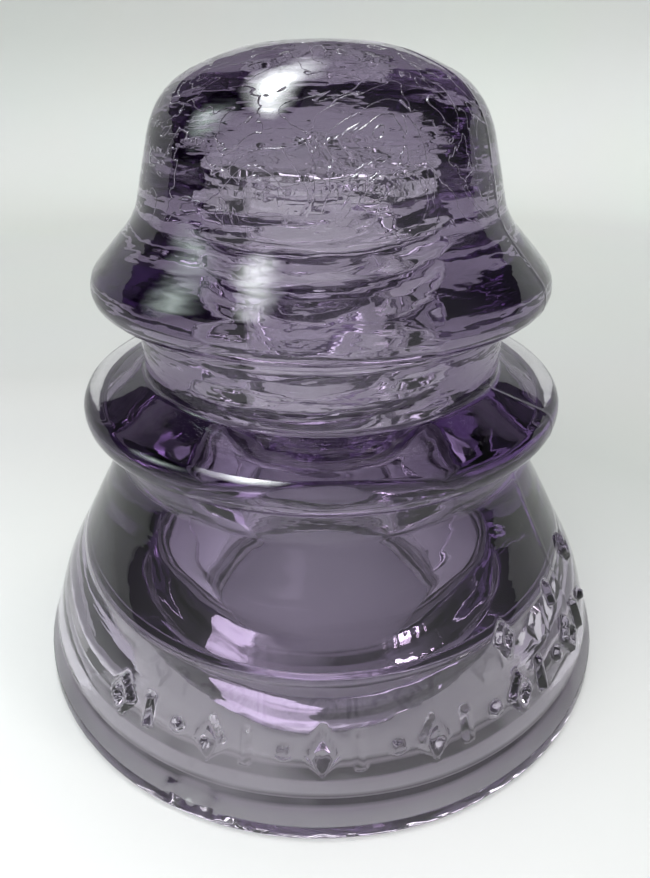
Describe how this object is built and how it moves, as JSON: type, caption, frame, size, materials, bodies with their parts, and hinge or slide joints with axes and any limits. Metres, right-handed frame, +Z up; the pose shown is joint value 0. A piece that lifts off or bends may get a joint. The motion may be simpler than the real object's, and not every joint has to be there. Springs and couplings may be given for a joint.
{
  "type": "glass pin insulator",
  "caption": "Pressed-glass pin insulator with a domed crown, two wire grooves, a bell skirt, a thick inner petticoat and a tapered threaded pinhole.",
  "frame": {"origin": "centre of the foot ring, on the surface that the insulator stands on", "axes": "+Z up along the pinhole, towards the crown; -Y faces the front view"},
  "size_m": [0.1036, 0.1036, 0.0948],
  "materials": {
    "amethyst_glass": "clear, lightly purple pressed glass, fire-polished, with faint mould seams and wrinkles in the crown"
  },
  "bodies": {
    "root": {"glass_body": "amethyst_glass"}
  },
  "joints": []
}
